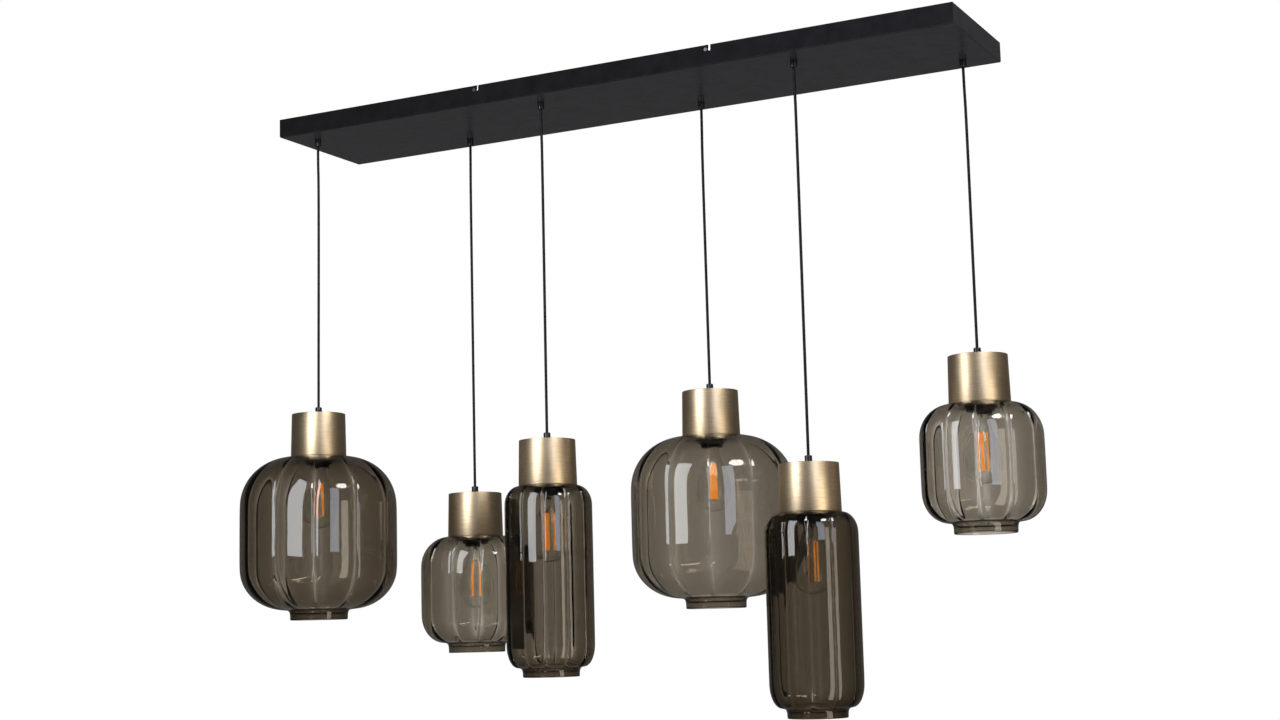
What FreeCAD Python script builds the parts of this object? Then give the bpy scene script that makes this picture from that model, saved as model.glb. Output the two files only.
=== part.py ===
import FreeCAD, Part
import math
import os

V = FreeCAD.Vector
UP = V(0, 0, 1)
ACROSS = V(0, 1, 0)

# All sizes are in millimetres. X runs along the ceiling plate, Z up, and Z = 0 is the ceiling.

# Ceiling plate: a tray folded from sheet steel, open towards the ceiling
PLATE_LENGTH = 1300.0
PLATE_WIDTH = 250.0
PLATE_HEIGHT = 34.5
PLATE_SHEET = 1.2
BEND_RADIUS = 3.0
CEILING_GAP = 0.5

# Bayonet slots in the plate's long sides, which hook on the brackets' side screws
SLOT_WIDTH = 3.4
SLOT_DROP = 8.0
SLOT_SHIFT = 6.0

# Brackets screwed to the ceiling
BRACKET_SPACING = 450.0
BRACKET_WIDTH = 24.0
BRACKET_SHEET = 2.0
BRACKET_TAB = 15.0
BRACKET_GAP = 0.3
CEILING_SCREW_SPACING = 120.0
CEILING_SCREW_HOLE = 5.5

# Side screws that lock the plate on the brackets
SIDE_SCREW_THREAD = 3.0
SIDE_SCREW_HEAD = 6.0
SIDE_SCREW_HEAD_HEIGHT = 1.8
SIDE_SCREW_LENGTH = 9.0
SIDE_SCREW_SEAT_GAP = 0.2
SCREW_FIT = 0.05

# Terminal block on the plate's floor
BLOCK_LENGTH = 64.0
BLOCK_WIDTH = 30.0
BLOCK_HEIGHT = 24.0
BLOCK_ENTRY_DEPTH = 12.0
BLOCK_SCREW_HOLE = 4.0
BLOCK_SCREW_DEPTH = 7.0
BLOCK_POLES = 3
TAIL_RISE = 17.0

# Flat sides that small round mouldings are drawn with
MOULDING_SIDES = 28
SMALL_SIDES = 18
CORD_SIDES = 12

# Round sheathed cord and the grips that hold it
CORD_DIAMETER = 4.8
CORD_FIT = 0.05
CORD_PITCH = 8.0
TAIL_BEND = 12.0
TAIL_END_GAP = 0.5
GRIP_DIAMETER = 12.0
GRIP_HEIGHT = 13.0
GRIP_EDGE = 1.2
GRIP_SHANK = 10.0
GRIP_BARB = 11.6
GRIP_BARB_HEIGHT = 3.0
SHANK_FIT = 0.1

# Brass cap over each lampholder
CAP_TOP_DIAMETER = 96.5
CAP_BOTTOM_DIAMETER = 100.0
CAP_HEIGHT = 78.0
CAP_SHEET = 1.5
CAP_EDGE = 1.2
CAP_SEAT_GAP = 0.3
CAP_SIDES = 48

# Lampholder for a 27 mm screw base
STEM_DIAMETER = 10.0
STEM_RISE = 8.0
STEM_FIT = 0.05
CLAMP_DIAMETER = 17.0
CLAMP_HEIGHT = 4.0
HEAD_DIAMETER = 28.0
HEAD_START = 14.0
HEAD_HEIGHT = 10.0
HOLDER_DIAMETER = 39.0
HOLDER_BELOW_CAP = 18.0
FLANGE_DIAMETER = 47.0
FLANGE_HEIGHT = 2.5
SOCKET_DEPTH = 30.0
SOCKET_FIT = 0.3
WIRE_HOLE = 3.0
CORD_HOLD_DEPTH = 12.0

# Threaded ring that clamps the shade from inside
RING_DIAMETER = 52.0
RING_HEIGHT = 8.0
RING_FIT = 0.1
RING_FLANGE = 3.0
RING_BODY_DIAMETER = 46.0

# Blown glass shades, measured from the cap's lower edge down
GLASS_WALL = 3.0
GLASS_HOLE_FIT = 0.6
LOBES = 12
CROWN_START = 1.0 / 3.0
SHOULDER_STEPS = 5
BELLY_STEPS = 4
FOOT_MARGIN = 6.0
SHADES = {
    "lantern": {
        "radius": 141.5, "height": 294.0, "shoulder": 88.0, "belly": 74.0,
        "neck": 51.5, "collar": 18.0, "groove": 4.5,
    },
    "small_lantern": {
        "radius": 100.0, "height": 209.0, "shoulder": 53.0, "belly": 50.0,
        "neck": 51.0, "collar": 18.0, "groove": 3.6,
    },
    "cylinder": {
        "radius": 75.0, "height": 322.0, "shoulder": 33.0, "belly": 38.0,
        "neck": 48.0, "collar": 16.0, "groove": 2.6,
    },
}

# Bulb: pear-shaped clear envelope with a 27 mm screw base
BASE_DIAMETER = 26.0
BASE_LENGTH = 24.0
BASE_INSET = 1.0
CONTACT_DIAMETER = 9.0
CONTACT_HEIGHT = 2.0
BULB_DIAMETER = 64.0
BULB_LENGTH = 140.0
BULB_FLANK = 78.0
BULB_WALL = 1.0
BULB_SIDES = 18
BULB_STEPS = 4
BULB_TIP_SHARE = 0.94
STEM_GLASS_DIAMETER = 16.0
STEM_GLASS_TIP = 7.0
STEM_GLASS_HEIGHT = 24.0
STEM_GLASS_SIDES = 12
STICK_LENGTH = 62.0
STICK_START = 30.0
STICK_CIRCLE = 20.0
STICK_SECTION = 2.0
STICKS = 4
WIRE_SECTION = 1.2

# Pendants: shade, row (-1 near, 1 far), drop of the cap's top below the plate, turn of the lobes
FIRST_CORD = 50.0
CORD_SPACING = 240.0
ROW_OFFSET = 75.0
PENDANTS = [
    ("lantern", -1, 515.0, 6.5),
    ("small_lantern", 1, 665.0, 7.0),
    ("cylinder", -1, 595.0, 23.0),
    ("lantern", 1, 515.0, -7.0),
    ("cylinder", -1, 665.0, 17.0),
    ("small_lantern", 1, 495.0, 13.0),
]

# Heights and places that follow from the sizes above
PLATE_UNDERSIDE = -(CEILING_GAP + PLATE_HEIGHT)
PLATE_FLOOR = PLATE_UNDERSIDE + PLATE_SHEET
INNER_WIDTH = PLATE_WIDTH - 2 * PLATE_SHEET
SCREW_HEIGHT = -CEILING_GAP - SLOT_DROP
GRIP_BOTTOM = PLATE_UNDERSIDE - GRIP_HEIGHT
GRIP_TOP = PLATE_FLOOR + SHANK_FIT + GRIP_BARB_HEIGHT
CORD_BORE = CORD_DIAMETER / 2 + CORD_FIT
SHANK_HOLE = GRIP_SHANK / 2 + SHANK_FIT
GLASS_TOP = -(CAP_HEIGHT + CAP_SEAT_GAP)
HOLDER_END = -(CAP_HEIGHT + HOLDER_BELOW_CAP)
SOCKET_BORE = BASE_DIAMETER / 2 + SOCKET_FIT
BASE_END = HOLDER_END + BASE_INSET
BASE_TOP = BASE_END + BASE_LENGTH
BULB_END = BASE_TOP + CONTACT_HEIGHT - BULB_LENGTH


def ring_points(z, spokes):
    """Corners at one height from (angle in degrees, radius) pairs."""
    return [
        V(r * math.cos(math.radians(a)), r * math.sin(math.radians(a)), z) for a, r in spokes
    ]


def closed_band(rings):
    """Solid whose skin is flat strips between rings, the last ring joined to the first."""
    faces = []
    for here, there in zip(rings, rings[1:] + rings[:1]):
        for i in range(len(here)):
            j = (i + 1) % len(here)
            corners = [here[i], here[j], there[j], there[i], here[i]]
            faces.append(Part.Face(Part.makePolygon(corners)))
    shell = Part.Shell(faces)
    shell.sewShape()
    solid = Part.Solid(shell)
    if solid.Volume < 0:
        solid.reverse()
    return solid.removeSplitter()


def turned_with_flats(outline, sides):
    """Hollow piece turned about Z in flat sides, from a closed outline that stays off the axis."""
    angles = [360 * side / sides for side in range(sides)]
    return closed_band([ring_points(z, [(a, r) for a in angles]) for r, z in outline])


def prism(radius, sides, low, high):
    """Solid bar on the Z axis with flat sides."""
    corners = ring_points(low, [(360 * side / sides, radius) for side in range(sides)])
    return Part.Face(Part.makePolygon(corners + corners[:1])).extrude(UP * (high - low))


def moved(solid, place):
    """Copy of a solid carried to a place."""
    copy = solid.copy()
    copy.translate(place)
    return copy


def cord_place(number):
    """Where a pendant's cord leaves the plate, at ceiling height."""
    row = PENDANTS[number][1]
    x = -PLATE_LENGTH / 2 + FIRST_CORD + number * CORD_SPACING
    return V(x, row * ROW_OFFSET, 0)


def cap_top(number):
    """Height of the top of a pendant's cap."""
    return PLATE_UNDERSIDE - PENDANTS[number][2]


def bracket_places():
    """X of the two ceiling brackets."""
    return (-BRACKET_SPACING / 2, BRACKET_SPACING / 2)


def rounded_tray(length, width, bottom, radius):
    """Block up to the plate's rim with its lower edges rounded, as the bends round them."""
    height = -CEILING_GAP - bottom
    block = Part.makeBox(length, width, height, V(-length / 2, -width / 2, bottom))
    low = [e for e in block.Edges if abs(e.BoundBox.ZMax - bottom) < 1e-6]
    return block.makeFillet(radius, low)


def bayonet_slot(x, side):
    """Cutter of one slot: down from the rim, then sideways to the screw's seat."""
    wall = PLATE_SHEET * 3
    y = side * (PLATE_WIDTH / 2 - PLATE_SHEET / 2) - wall / 2
    half = SLOT_WIDTH / 2
    down = Part.makeBox(
        SLOT_WIDTH, wall, SLOT_DROP + half, V(x + SLOT_SHIFT - half, y, SCREW_HEIGHT - half)
    )
    sideways = Part.makeBox(SLOT_SHIFT, wall, SLOT_WIDTH, V(x, y, SCREW_HEIGHT - half))
    seat = Part.makeCylinder(half, wall, V(x, y, SCREW_HEIGHT), ACROSS)
    return down.fuse([sideways, seat])


def ceiling_plate():
    """The folded tray with its cord holes and bayonet slots."""
    shell = rounded_tray(PLATE_LENGTH, PLATE_WIDTH, PLATE_UNDERSIDE, BEND_RADIUS).cut(
        rounded_tray(
            PLATE_LENGTH - 2 * PLATE_SHEET, INNER_WIDTH, PLATE_FLOOR, BEND_RADIUS - PLATE_SHEET
        )
    )
    cutters = [bayonet_slot(x, side) for x in bracket_places() for side in (-1, 1)]
    for number in range(len(PENDANTS)):
        hole = Part.makeCylinder(SHANK_HOLE, 3 * PLATE_SHEET)
        cutters.append(moved(hole, cord_place(number) + V(0, 0, PLATE_UNDERSIDE - PLATE_SHEET)))
    return shell.cut(cutters)


def ceiling_bracket(x):
    """Strap across the plate with a tab bent down at each end for the side screw."""
    length = INNER_WIDTH - 2 * BRACKET_GAP
    low = V(x - BRACKET_WIDTH / 2, -length / 2, -BRACKET_SHEET)
    strap = Part.makeBox(BRACKET_WIDTH, length, BRACKET_SHEET, low)
    for side in (-1, 1):
        outer = side * length / 2
        y = min(outer, outer - side * BRACKET_SHEET)
        tab = Part.makeBox(
            BRACKET_WIDTH, BRACKET_SHEET, BRACKET_TAB, V(x - BRACKET_WIDTH / 2, y, -BRACKET_TAB)
        )
        strap = strap.fuse(tab)
    cutters = []
    for side in (-1, 1):
        hole = Part.makeCylinder(
            CEILING_SCREW_HOLE / 2, 3 * BRACKET_SHEET,
            V(x, side * CEILING_SCREW_SPACING / 2, -2 * BRACKET_SHEET),
        )
        cutters.append(hole)
    thread = Part.makeCylinder(
        SIDE_SCREW_THREAD / 2 + SCREW_FIT, PLATE_WIDTH, V(x, -PLATE_WIDTH / 2, SCREW_HEIGHT), ACROSS
    )
    return strap.cut(cutters + [thread]).removeSplitter()


def side_screw(x, side):
    """Pan-head screw through the slot's seat into the bracket's tab."""
    face = side * (PLATE_WIDTH / 2 + SIDE_SCREW_SEAT_GAP)
    shank = Part.makeCylinder(
        SIDE_SCREW_THREAD / 2, SIDE_SCREW_LENGTH, V(x, face, SCREW_HEIGHT), ACROSS * -side
    )
    head = Part.makeCylinder(
        SIDE_SCREW_HEAD / 2, SIDE_SCREW_HEAD_HEIGHT, V(x, face, SCREW_HEIGHT), ACROSS * side
    )
    return shank.fuse(head).removeSplitter()


def canopy_grip(number):
    """Push-in cord grip: collared shank through the plate's hole, round body below."""
    body = GRIP_DIAMETER / 2
    neck = GRIP_SHANK / 2
    outline = [
        (CORD_BORE, GRIP_TOP),
        (GRIP_BARB / 2, GRIP_TOP),
        (GRIP_BARB / 2, PLATE_FLOOR + SHANK_FIT),
        (neck, PLATE_FLOOR + SHANK_FIT),
        (neck, PLATE_UNDERSIDE),
        (body, PLATE_UNDERSIDE),
        (body, GRIP_BOTTOM + GRIP_EDGE),
        (body - GRIP_EDGE, GRIP_BOTTOM),
        (CORD_BORE, GRIP_BOTTOM),
    ]
    return moved(turned_with_flats(outline, SMALL_SIDES), cord_place(number))


def block_entry(number):
    """Where a cord's tail enters the terminal block, and which end of the block it is."""
    half = len(PENDANTS) // 2
    end = -1 if number < half else 1
    rank = number if number < half else len(PENDANTS) - 1 - number
    lane = (0, 1, -1)[rank % 3] * CORD_PITCH * -end
    return V(end * BLOCK_LENGTH / 2, lane, 0), end


def tail_height():
    """Height of the tails' straight runs."""
    return PLATE_FLOOR + TAIL_RISE


def cord_tail(number):
    """A cord's inner end, from its grip up and over to the terminal block, and its bend."""
    start = cord_place(number) + V(0, 0, GRIP_BOTTOM + TAIL_END_GAP)
    entry, end = block_entry(number)
    goal = entry + V(-end * (BLOCK_ENTRY_DEPTH - CORD_FIT * 2), 0, tail_height())
    corner = V(start.x, start.y, tail_height())
    across = (goal - corner).normalize()
    bend = min(TAIL_BEND, tail_height() - GRIP_TOP)
    low = corner - UP * bend
    high = corner + across * bend
    turn = math.degrees(math.atan2(across.y, across.x))
    spokes = [(turn + 360 * side / CORD_SIDES, CORD_DIAMETER / 2) for side in range(CORD_SIDES)]
    corners = [V(low.x, low.y, 0) + corner for corner in ring_points(low.z, spokes)]
    section = Part.Face(Part.makePolygon(corners + corners[:1]))
    axis = low + across * bend, UP.cross(across)
    rise = section.extrude(start - low)
    elbow = section.revolve(*axis, 90)
    section.rotate(*axis, 90)
    run = section.extrude(goal - high)
    length = (low - start).Length + math.pi / 2 * bend + (goal - high).Length
    return rise.fuse([elbow, run]).removeSplitter(), bend, length


def terminal_block():
    """Insulated connector with an entry for each tail and clamp screws on top."""
    block = Part.makeBox(
        BLOCK_LENGTH, BLOCK_WIDTH, BLOCK_HEIGHT, V(-BLOCK_LENGTH / 2, -BLOCK_WIDTH / 2, PLATE_FLOOR)
    )
    cutters = []
    for number in range(len(PENDANTS)):
        entry, end = block_entry(number)
        goal = entry + V(-end * BLOCK_ENTRY_DEPTH, 0, tail_height())
        start = V(cord_place(number).x, cord_place(number).y, tail_height())
        way = (start - goal).normalize()
        cutters.append(Part.makeCylinder(CORD_BORE + CORD_FIT, BLOCK_ENTRY_DEPTH * 3, goal, way))
    top = PLATE_FLOOR + BLOCK_HEIGHT - BLOCK_SCREW_DEPTH
    pitch = BLOCK_LENGTH / BLOCK_POLES
    for pole in range(BLOCK_POLES):
        x = (pole - (BLOCK_POLES - 1) / 2) * pitch
        cutters.append(Part.makeCylinder(BLOCK_SCREW_HOLE / 2, BLOCK_SCREW_DEPTH, V(x, 0, top)))
    return block.cut(cutters)


def free_cord(number):
    """Straight cord from the mouth of the plate's grip down into the lampholder's head."""
    top = GRIP_BOTTOM
    bottom = cap_top(number) - CORD_HOLD_DEPTH
    cord = Part.makeCylinder(CORD_DIAMETER / 2, top - bottom, V(0, 0, bottom))
    return moved(cord, cord_place(number)), top - bottom


def cap_grip():
    """Cord grip screwed on the lampholder's stem, seated on the cap's top."""
    body = GRIP_DIAMETER / 2
    stem = STEM_DIAMETER / 2 + STEM_FIT
    outline = [
        (stem, 0),
        (body, 0),
        (body, GRIP_HEIGHT - GRIP_EDGE),
        (body - GRIP_EDGE, GRIP_HEIGHT),
        (CORD_BORE, GRIP_HEIGHT),
        (CORD_BORE, STEM_RISE + STEM_FIT),
        (stem, STEM_RISE + STEM_FIT),
    ]
    return turned_with_flats(outline, MOULDING_SIDES)


def brass_cap():
    """Slightly flared cup with a closed top, a broken upper edge and fine flat sides."""
    top = CAP_TOP_DIAMETER / 2
    bottom = CAP_BOTTOM_DIAMETER / 2
    hole = STEM_DIAMETER / 2 + SHANK_FIT
    outline = [
        (hole, 0),
        (top - CAP_EDGE, 0),
        (top, -CAP_EDGE),
        (bottom, -CAP_HEIGHT),
        (bottom - CAP_SHEET, -CAP_HEIGHT),
        (top - CAP_SHEET, -CAP_SHEET),
        (hole, -CAP_SHEET),
    ]
    return turned_with_flats(outline, CAP_SIDES)


def lampholder():
    """Threaded stem, clamping collar, stepped head, sleeve with a flange, and the screw socket."""
    sleeve = HOLDER_DIAMETER / 2
    stem = STEM_DIAMETER / 2
    clamp = CLAMP_DIAMETER / 2
    flange = FLANGE_DIAMETER / 2
    flange_low = -CAP_HEIGHT
    outline = [
        (CORD_BORE, STEM_RISE),
        (stem, STEM_RISE),
        (stem, -CAP_SHEET),
        (clamp, -CAP_SHEET),
        (clamp, -CAP_SHEET - CLAMP_HEIGHT),
        (stem, -CAP_SHEET - CLAMP_HEIGHT),
        (stem, -HEAD_START),
        (HEAD_DIAMETER / 2, -HEAD_START),
        (HEAD_DIAMETER / 2, -HEAD_START - HEAD_HEIGHT),
        (sleeve, -HEAD_START - HEAD_HEIGHT),
        (sleeve, flange_low + FLANGE_HEIGHT),
        (flange, flange_low + FLANGE_HEIGHT),
        (flange, flange_low),
        (sleeve, flange_low),
        (sleeve, HOLDER_END),
        (SOCKET_BORE, HOLDER_END),
        (SOCKET_BORE, HOLDER_END + SOCKET_DEPTH),
        (WIRE_HOLE / 2, HOLDER_END + SOCKET_DEPTH),
        (WIRE_HOLE / 2, -CORD_HOLD_DEPTH - CORD_FIT),
        (CORD_BORE, -CORD_HOLD_DEPTH - CORD_FIT),
    ]
    return turned_with_flats(outline, MOULDING_SIDES)


def shade_ring():
    """Flanged ring on the lampholder's thread, just under the top of the glass."""
    top = GLASS_TOP - GLASS_WALL - CAP_SEAT_GAP
    thread = HOLDER_DIAMETER / 2 + RING_FIT
    outline = [
        (thread, top),
        (RING_DIAMETER / 2, top),
        (RING_DIAMETER / 2, top - RING_FLANGE),
        (RING_BODY_DIAMETER / 2, top - RING_FLANGE),
        (RING_BODY_DIAMETER / 2, top - RING_HEIGHT),
        (thread, top - RING_HEIGHT),
    ]
    return turned_with_flats(outline, MOULDING_SIDES)


def shade_ring_points(radius, z, groove_share):
    """One ring of a shade: each lobe has a groove corner and two crown corners."""
    spokes = []
    for lobe in range(LOBES):
        start = 360 * lobe / LOBES
        for share, r in (
            (0, radius * (1 - groove_share)), (CROWN_START, radius), (1 - CROWN_START, radius)
        ):
            spokes.append((start + share * 360 / LOBES, r))
    return ring_points(z, spokes)


def glass_curve(shade, wall):
    """Radius and height down a shade's face: quarter ellipses at shoulder and belly."""
    seat = CAP_BOTTOM_DIAMETER / 2
    radius = shade["radius"] - wall
    shoulder = shade["shoulder"] - wall
    belly = shade["belly"] - wall
    foot = shade["neck"] + FOOT_MARGIN - wall
    belly_start = shade["collar"] + shade["belly"] - shade["height"]
    curve = []
    for step in range(SHOULDER_STEPS + 1):
        t = math.pi / 2 * step / SHOULDER_STEPS
        curve.append((seat + (radius - seat) * math.sin(t), -wall - shoulder * (1 - math.cos(t))))
    for step in range(BELLY_STEPS + 1):
        t = math.pi / 2 * step / BELLY_STEPS
        curve.append((foot + (radius - foot) * math.cos(t), belly_start - belly * math.sin(t)))
    return curve


def glass_shade(kind):
    """Hollow lobed shade with a flat top, a hole for the lampholder and an open round collar."""
    shade = SHADES[kind]
    share = shade["groove"] / shade["radius"]
    hole = HOLDER_DIAMETER / 2 + GLASS_HOLE_FIT
    neck = shade["neck"]
    collar_top = shade["collar"] - shade["height"]
    outer = [shade_ring_points(r, z, share) for r, z in glass_curve(shade, 0)]
    inner = [shade_ring_points(r, z, share) for r, z in glass_curve(shade, GLASS_WALL)]
    collar = [
        shade_ring_points(neck, collar_top, 0),
        shade_ring_points(neck, -shade["height"], 0),
        shade_ring_points(neck - GLASS_WALL, -shade["height"], 0),
        shade_ring_points(neck - GLASS_WALL, collar_top + GLASS_WALL, 0),
    ]
    top = [shade_ring_points(hole, -GLASS_WALL, 0), shade_ring_points(hole, 0, 0)]
    return moved(closed_band(outer + collar + inner[::-1] + top), V(0, 0, GLASS_TOP))


def bulb_base():
    """Screw base with its centre contact, filled as the driver in it fills it."""
    shell = prism(BASE_DIAMETER / 2, MOULDING_SIDES, BASE_END, BASE_TOP)
    contact = prism(CONTACT_DIAMETER / 2, SMALL_SIDES, BASE_TOP, BASE_TOP + CONTACT_HEIGHT)
    return shell.fuse(contact)


def bulb_curve(wall):
    """Radius and height of the envelope: a flank that swells, then an elliptical end."""
    neck = BASE_DIAMETER / 2 - wall
    belly = BULB_DIAMETER / 2 - wall
    flank_end = BASE_END - BULB_FLANK
    end_height = flank_end - BULB_END - wall
    last = math.pi / 2 * BULB_TIP_SHARE
    curve = []
    for step in range(BULB_STEPS + 1):
        s = step / BULB_STEPS
        swell = (1 - math.cos(math.pi * s)) / 2
        curve.append((neck + (belly - neck) * swell, BASE_END - BULB_FLANK * s))
    for step in range(1, BULB_STEPS + 1):
        t = last * step / BULB_STEPS
        curve.append((belly * math.cos(t), flank_end - end_height * math.sin(t) / math.sin(last)))
    return curve


def bulb_glass():
    """Clear envelope, open at the neck where the base closes it, and sealed at its tip."""
    tip_seal = prism(bulb_curve(0)[-1][0], BULB_SIDES, BULB_END, BULB_END + BULB_WALL)
    outline = bulb_curve(0) + bulb_curve(BULB_WALL)[::-1]
    return turned_with_flats(outline, BULB_SIDES).fuse(tip_seal)


def bulb_filament():
    """Glass stem with its rod, and the light sticks held between two wire crosses."""
    bore = WIRE_SECTION / 2
    stem = turned_with_flats(
        [
            (bore, BASE_END),
            (STEM_GLASS_DIAMETER / 2, BASE_END),
            (STEM_GLASS_TIP / 2, BASE_END - STEM_GLASS_HEIGHT),
            (bore, BASE_END - STEM_GLASS_HEIGHT),
        ],
        STEM_GLASS_SIDES,
    )
    first = BASE_END - STICK_START
    rod_length = STICK_START + STICK_LENGTH
    rod = Part.makeBox(
        WIRE_SECTION, WIRE_SECTION, rod_length,
        V(-WIRE_SECTION / 2, -WIRE_SECTION / 2, BASE_END - rod_length),
    )
    pieces = [rod]
    reach = STICK_CIRCLE / 2
    for number in range(STICKS):
        turn = 360 * (number + 0.5) / STICKS
        stick = Part.makeBox(
            STICK_SECTION, STICK_SECTION, STICK_LENGTH,
            V(reach - STICK_SECTION / 2, -STICK_SECTION / 2, first - STICK_LENGTH),
        )
        arms = [
            Part.makeBox(reach, WIRE_SECTION, WIRE_SECTION, V(0, -WIRE_SECTION / 2, z))
            for z in (first - WIRE_SECTION, first - STICK_LENGTH)
        ]
        for piece in [stick] + arms:
            piece.rotate(V(0, 0, 0), UP, turn)
            pieces.append(piece)
    return stem.fuse(pieces).removeSplitter()


def write(name, *solids):
    """One node: its solids in one file, with its volume printed."""
    shape = solids[0] if len(solids) == 1 else Part.Compound(list(solids))
    shape.exportStep(f"parts/{name}.step")
    print(f"{name}: {len(shape.Solids)} solids, {shape.Volume / 1000:.1f} cm3, valid {shape.isValid()}")


def main():
    os.makedirs("parts", exist_ok=True)
    write("ceiling_plate", ceiling_plate())
    write("ceiling_brackets", *[ceiling_bracket(x) for x in bracket_places()])
    write("side_screws", *[side_screw(x, side) for x in bracket_places() for side in (-1, 1)])
    write("canopy_cord_grips", *[canopy_grip(number) for number in range(len(PENDANTS))])
    write("terminal_block", terminal_block())
    tails = [cord_tail(number) for number in range(len(PENDANTS))]
    write("cord_tails", *[solid for solid, bend, length in tails])
    for number, (solid, bend, length) in enumerate(tails):
        print(f"tail {number + 1}: bend radius {bend:.1f} mm, length {length:.0f} mm")
    parts = {
        "cord_grip": cap_grip(),
        "cap": brass_cap(),
        "lampholder": lampholder(),
        "shade_ring": shade_ring(),
        "bulb_base": bulb_base(),
        "bulb_glass": bulb_glass(),
        "bulb_filament": bulb_filament(),
    }
    shades = {kind: glass_shade(kind) for kind in SHADES}
    for number, (kind, row, drop, turn) in enumerate(PENDANTS):
        place = cord_place(number) + V(0, 0, cap_top(number))
        for name, solid in parts.items():
            write(f"{name}_{number + 1}", moved(solid, place))
        shade = shades[kind].copy()
        shade.rotate(V(0, 0, 0), UP, turn)
        write(f"shade_{number + 1}", moved(shade, place))
        cord, length = free_cord(number)
        write(f"cord_{number + 1}", cord)
        print(f"cord {number + 1}: straight, {length:.0f} mm from grip to lampholder")


main()
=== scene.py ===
# %% [markdown]
# A long black ceiling plate carries six lights on cords. Each light is a brass cap, a lobed shade of
# smoked glass under it, and a clear bulb inside. The plate, brackets and screws come from the frame at
# their real size and keep their shape. Everything turned, blown or flexible is modelled here, because
# those pieces decide how the lamp looks.

# %% Load the frame
import bpy
import math
from mathutils import Matrix, Vector


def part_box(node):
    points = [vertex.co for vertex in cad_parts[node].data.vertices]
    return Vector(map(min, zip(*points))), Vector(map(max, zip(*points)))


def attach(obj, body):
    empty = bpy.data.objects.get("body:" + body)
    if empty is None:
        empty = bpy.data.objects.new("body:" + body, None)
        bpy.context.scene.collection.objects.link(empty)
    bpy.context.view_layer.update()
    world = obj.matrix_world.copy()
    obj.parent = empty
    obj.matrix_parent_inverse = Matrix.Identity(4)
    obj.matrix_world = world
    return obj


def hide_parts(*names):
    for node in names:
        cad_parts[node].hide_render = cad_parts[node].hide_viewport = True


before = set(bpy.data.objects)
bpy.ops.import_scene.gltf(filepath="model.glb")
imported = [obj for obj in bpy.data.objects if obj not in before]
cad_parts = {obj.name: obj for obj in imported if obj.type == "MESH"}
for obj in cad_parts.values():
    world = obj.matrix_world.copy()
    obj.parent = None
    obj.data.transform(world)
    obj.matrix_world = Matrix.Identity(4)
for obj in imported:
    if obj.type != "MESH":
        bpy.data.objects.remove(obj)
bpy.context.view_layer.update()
LIGHTS = range(1, 7)

# %% [markdown]
# The camera stands below the plate and to its right, and looks up at it a little. It could be placed by
# eye, but its place and lens were worked out from the plate's corners and the six cords, so that every
# edge falls where it should.

# %% Camera
CAMERA_PLACE = Vector((1.5445, -2.9710, -0.9667))
CAMERA_YAW = math.radians(-27.1)
CAMERA_PITCH = math.radians(8.04)
CAMERA_ROLL = math.radians(-1.46)
CAMERA_LENS = 55.06
SENSOR_WIDTH = 36
CLIP_END = 60


def camera_axes():
    """Right, up and forward directions of the camera."""
    forward = Vector((
        math.sin(CAMERA_YAW) * math.cos(CAMERA_PITCH),
        math.cos(CAMERA_YAW) * math.cos(CAMERA_PITCH),
        math.sin(CAMERA_PITCH),
    ))
    level = Vector((math.cos(CAMERA_YAW), -math.sin(CAMERA_YAW), 0))
    rise = level.cross(forward)
    right = math.cos(CAMERA_ROLL) * level + math.sin(CAMERA_ROLL) * rise
    up = -math.sin(CAMERA_ROLL) * level + math.cos(CAMERA_ROLL) * rise
    return right, up, forward


bpy.ops.object.camera_add()
camera = bpy.context.object
right, up, forward = camera_axes()
turn = Matrix((right, up, -forward)).transposed().to_4x4()
camera.matrix_world = Matrix.Translation(CAMERA_PLACE) @ turn
camera.data.lens = CAMERA_LENS
camera.data.sensor_width = SENSOR_WIDTH
camera.data.clip_end = CLIP_END
bpy.context.scene.camera = camera
print("camera looks along", [round(v, 3) for v in forward])

# %% [markdown]
# Places come from the frame: every light hangs on the middle of its cap, and all its heights are
# measured down from the cap's top. The shades come in three forms, and each has the glassmaker's own
# sizes: widest radius, height, depth of the rounded shoulder and belly, and the collar at the foot.

# %% Places and sizes
CAP_HEIGHT = 0.078
CAP_TOP_RADIUS = 0.04825
CAP_BOTTOM_RADIUS = 0.050
CAP_SHEET = 0.0015
CORD_DIAMETER = 0.0048
CORD_BORE = 0.00245
GLASS_TOP = -0.0783
SHADES = {
    "lantern": dict(radius=0.1415, height=0.294, shoulder=0.088, belly=0.074, neck=0.0515, collar=0.018),
    "small": dict(radius=0.100, height=0.209, shoulder=0.053, belly=0.050, neck=0.051, collar=0.018),
    "cylinder": dict(radius=0.075, height=0.322, shoulder=0.033, belly=0.038, neck=0.048, collar=0.016),
}
SHADE_KINDS = {1: "lantern", 2: "small", 3: "cylinder", 4: "lantern", 5: "cylinder", 6: "small"}


def cap_top(n):
    """Middle of the top of a light's cap."""
    low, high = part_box(f"cap_{n}")
    return Vector(((low[0] + high[0]) / 2, (low[1] + high[1]) / 2, high[2]))


for n in LIGHTS:
    print("light", n, SHADE_KINDS[n], [round(v, 3) for v in cap_top(n)])

# %% [markdown]
# A material is a small graph of nodes. Pictures could be wrapped round the pieces, but noise that reads
# Object coordinates has no seam, holds at any distance and needs no unwrapping. One helper starts a
# material, and one adds the noise.

# %% Start of a material
def material(name, colour, roughness, metallic=0.0):
    """New material and its main shader, with the values that are the same all over."""
    made = bpy.data.materials.new(name)
    made.use_nodes = True
    shader = made.node_tree.nodes["Principled BSDF"]
    shader.inputs["Base Color"].default_value = (*colour, 1)
    shader.inputs["Roughness"].default_value = roughness
    shader.inputs["Metallic"].default_value = metallic
    return made, shader


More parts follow.
